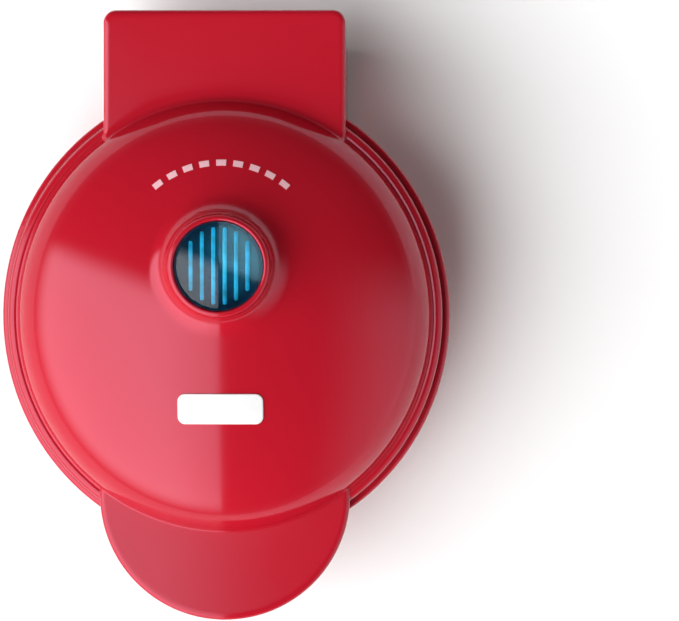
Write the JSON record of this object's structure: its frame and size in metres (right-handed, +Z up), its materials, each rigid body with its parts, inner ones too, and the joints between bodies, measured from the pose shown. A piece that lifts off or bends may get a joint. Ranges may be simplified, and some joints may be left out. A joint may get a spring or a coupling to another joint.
{
  "type": "waffle maker",
  "caption": "Round hinged waffle maker with a domed lid, lifting tongue, rear hinge box, round light window and heart-shaped cooking plates.",
  "frame": {"origin": "on the table, under the middle of the body, with the lid closed", "axes": "+X to the right, +Y from the lifting tongue towards the hinge, +Z up"},
  "size_m": [0.12, 0.1626, 0.071],
  "materials": {
    "red_gloss": "glossy red moulding",
    "black_trim": "fine satin texture, heat resistant",
    "nonstick": "dark non-stick coating on cast aluminium",
    "element_sheath": "heat-tinted sheath",
    "sheet_steel": "plated sheet",
    "sheet_aluminium": "pressed sheet",
    "screw_steel": "zinc plated",
    "bush_brass": "turned",
    "foot_rubber": "matt",
    "white_ceramic": "unglazed",
    "wire_sleeve": "silicone sleeve",
    "badge_white": "plain white plate",
    "pale_print": "printed",
    "blue_lens": "clear tinted window",
    "white_plastic": "satin",
    "lamp_glass": "clear bulb"
  },
  "bodies": {
    "base": {"base_housing": "red_gloss", "base_liner": "black_trim", "bottom_cover": "black_trim", "feet": "foot_rubber", "cord_gland": "black_trim", "lower_plate": "nonstick", "lower_element": "element_sheath", "lower_element_clamp": "sheet_steel", "lower_heat_pan": "sheet_aluminium", "lower_plate_screws": "screw_steel", "base_screws": "screw_steel", "thermostat": "sheet_steel", "thermal_fuse": "sheet_steel", "terminal_block": "white_ceramic", "lower_wires": "wire_sleeve", "hinge_pins": "screw_steel"},
    "lid": {"lid_housing": "red_gloss", "lid_liner": "black_trim", "lid_badge": "badge_white", "heat_marks": "pale_print", "indicator_lens": "blue_lens", "lamp_holder": "white_plastic", "indicator_lamp": "lamp_glass", "lamp_resistor": "white_ceramic", "upper_plate": "nonstick", "upper_element": "element_sheath", "upper_element_clamp": "sheet_steel", "upper_heat_pan": "sheet_aluminium", "upper_plate_screws": "screw_steel", "upper_wires": "wire_sleeve", "lid_screws": "screw_steel", "hinge_bushes": "bush_brass"}
  },
  "joints": [
    {"name": "lid_hinge", "type": "hinge", "parent": "base", "child": "lid", "pos_m": [0, 0.07, 0.028], "axis": [-1, 0, 0], "range_deg": [0, 100]}
  ]
}
